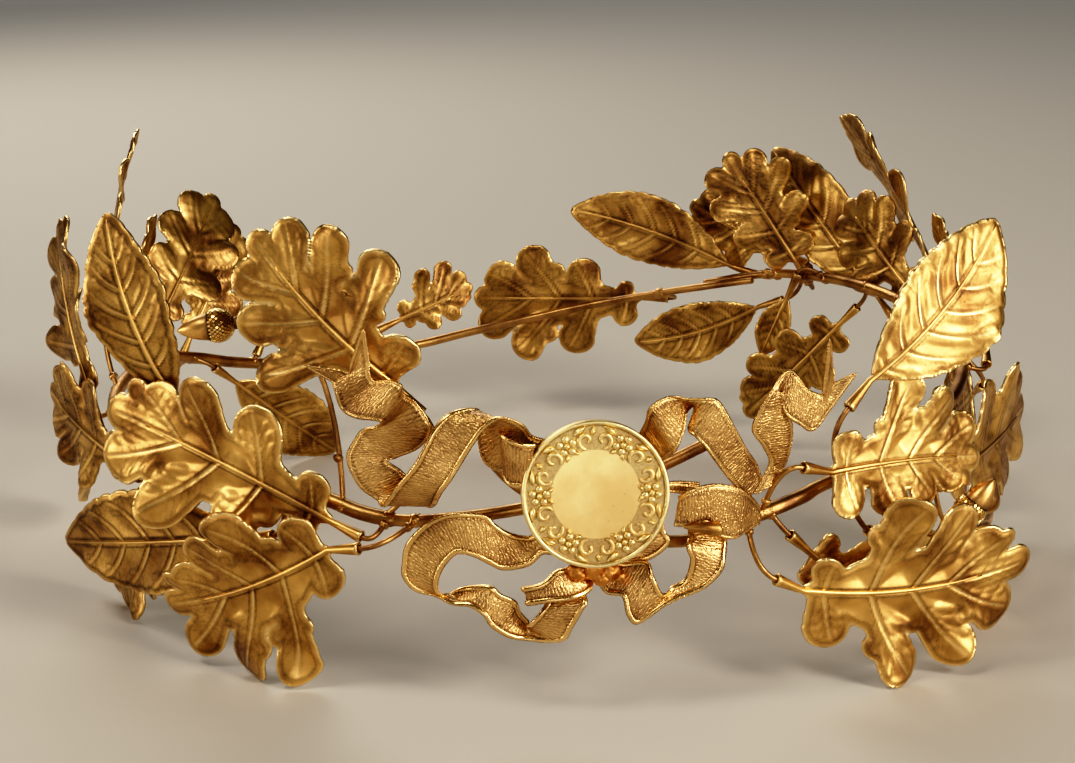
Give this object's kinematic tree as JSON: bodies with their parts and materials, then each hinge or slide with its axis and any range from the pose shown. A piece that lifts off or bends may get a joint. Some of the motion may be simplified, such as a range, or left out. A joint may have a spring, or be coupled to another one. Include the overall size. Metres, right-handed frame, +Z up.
{
  "type": "leaf wreath crown",
  "caption": "Open circlet of gilt metal oak leaves, serrated leaves and acorns on two bent tubes, with an engraved ribbon bow and a round relief medallion in front.",
  "frame": {"origin": "on the surface that the wreath rests on, under the middle of its bounding box, which is the axis of the circlet", "axes": "+Z up, -Y towards the front, where the medallion is, +X to the right as seen from the front"},
  "size_m": [0.2169, 0.211, 0.0943],
  "materials": {
    "tubes": "gilt drawn tube and wire, softly brushed, brown in the joints",
    "leaves": "gilt stamped leaf sheet, satin, brown patina in the veins",
    "ribbon": "gilt strip engraved with wavy cross lines, bright rolled edges",
    "medallion": "pale satin gilt cast disc with a raised border",
    "acorns": "gilt, cross-hatched cup and smooth nut"
  },
  "bodies": {
    "root": {"left_branch": "tubes", "right_branch": "tubes", "medallion": "medallion", "acorn_left": "acorns", "acorn_right": "acorns", "ribbon_tail_left": "ribbon", "ribbon_loop_left": "ribbon", "ribbon_loop_right": "ribbon", "ribbon_knot": "ribbon", "ribbon_rise": "ribbon", "ribbon_arch": "ribbon", "ribbon_tail_right": "ribbon", "oak_leaf_01": "leaves", "oak_leaf_02": "leaves", "oak_leaf_03": "leaves", "oak_leaf_04": "leaves", "oak_leaf_05": "leaves", "oak_leaf_06": "leaves", "oak_leaf_07": "leaves", "oak_leaf_08": "leaves", "oak_leaf_09": "leaves", "oak_leaf_10": "leaves", "oak_leaf_11": "leaves", "oak_leaf_12": "leaves", "oak_leaf_13": "leaves", "oak_leaf_14": "leaves", "oak_leaf_15": "leaves", "oak_leaf_16": "leaves", "oak_leaf_17": "leaves", "oak_leaf_18": "leaves", "oak_leaf_19": "leaves", "oak_leaf_20": "leaves", "oak_leaf_21": "leaves", "oak_leaf_22": "leaves", "oak_leaf_23": "leaves", "oak_leaf_24": "leaves", "oak_leaf_25": "leaves", "serrated_leaf_01": "leaves", "serrated_leaf_02": "leaves", "serrated_leaf_03": "leaves", "serrated_leaf_04": "leaves", "serrated_leaf_05": "leaves", "serrated_leaf_06": "leaves", "serrated_leaf_07": "leaves", "serrated_leaf_08": "leaves", "serrated_leaf_09": "leaves", "serrated_leaf_10": "leaves", "serrated_leaf_11": "leaves"}
  },
  "joints": []
}
